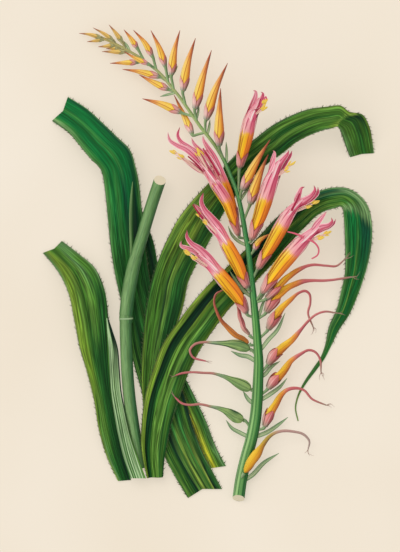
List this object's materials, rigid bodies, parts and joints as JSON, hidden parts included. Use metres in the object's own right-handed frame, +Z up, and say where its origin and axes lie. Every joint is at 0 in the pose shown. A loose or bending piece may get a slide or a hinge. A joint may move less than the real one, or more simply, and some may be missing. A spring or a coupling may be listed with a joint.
{
  "type": "cut pitcairnia plant",
  "caption": "Cut bromeliad laid flat: strap leaves with a stalk stump, and a long flowering stem with buds, tubular blooms, withered blooms and seed capsules over them.",
  "frame": {"origin": "middle of the plant's outline on the surface that it lies on", "axes": "+Y along the plant from the cut leaf bases to the tip of the flowering stem, +Z up from the surface, +X towards the channelled leaf"},
  "size_m": [0.2484, 0.3554, 0.0424],
  "materials": {
    "deep_green": "satin leaf with fine lengthwise ribs, deep green",
    "teal_green": "satin leaf with fine lengthwise ribs, blue-green in its channel, paler margins",
    "leaf_green": "satin leaf with fine lengthwise ribs, yellow-green",
    "sage_green": "pale mealy sheath and stalk",
    "stem_green": "smooth fleshy stem, paler towards its tip",
    "bud_orange": "smooth bud, pink foot, yellow side and dark red tip",
    "calyx_salmon": "soft sepals",
    "petal_pink": "soft petal, yellow foot and rose blade",
    "withered_rust": "shrivelled petals and styles",
    "capsule_green": "green seed capsule with a withered pink style"
  },
  "bodies": {
    "root": {"leaf_far": "deep_green", "leaf_under": "teal_green", "leaf_front": "leaf_green", "leaf_arching": "leaf_green", "leaf_channelled": "teal_green", "leaf_sheathing": "sage_green", "scape_stump": "sage_green", "flowering_stem": "stem_green", "bud_01": "bud_orange", "bud_02": "bud_orange", "bud_03": "bud_orange", "bud_04": "bud_orange", "bud_05": "bud_orange", "bud_06": "bud_orange", "bud_07": "bud_orange", "bud_08": "bud_orange", "bud_09": "bud_orange", "bud_10": "bud_orange", "bud_11": "bud_orange", "bud_12": "bud_orange", "bud_13": "bud_orange", "bud_14": "bud_orange", "bud_15": "bud_orange", "bud_16": "bud_orange", "bud_17": "bud_orange", "bloom_1_calyx": "calyx_salmon", "bloom_1_corolla": "petal_pink", "bloom_2_calyx": "calyx_salmon", "bloom_2_corolla": "petal_pink", "bloom_3_calyx": "calyx_salmon", "bloom_3_corolla": "petal_pink", "bloom_4_calyx": "calyx_salmon", "bloom_4_corolla": "petal_pink", "bloom_5_calyx": "calyx_salmon", "bloom_5_corolla": "petal_pink", "bloom_6_calyx": "calyx_salmon", "bloom_6_corolla": "petal_pink", "bloom_7_calyx": "calyx_salmon", "bloom_7_corolla": "petal_pink", "bloom_8_calyx": "calyx_salmon", "bloom_8_corolla": "petal_pink", "withered_1": "withered_rust", "withered_2": "withered_rust", "withered_3": "withered_rust", "withered_4": "withered_rust", "withered_5": "withered_rust", "withered_6": "withered_rust", "withered_7": "withered_rust", "withered_8": "withered_rust", "withered_9": "withered_rust", "capsule_1": "capsule_green", "capsule_2": "capsule_green", "capsule_3": "capsule_green"}
  },
  "joints": []
}
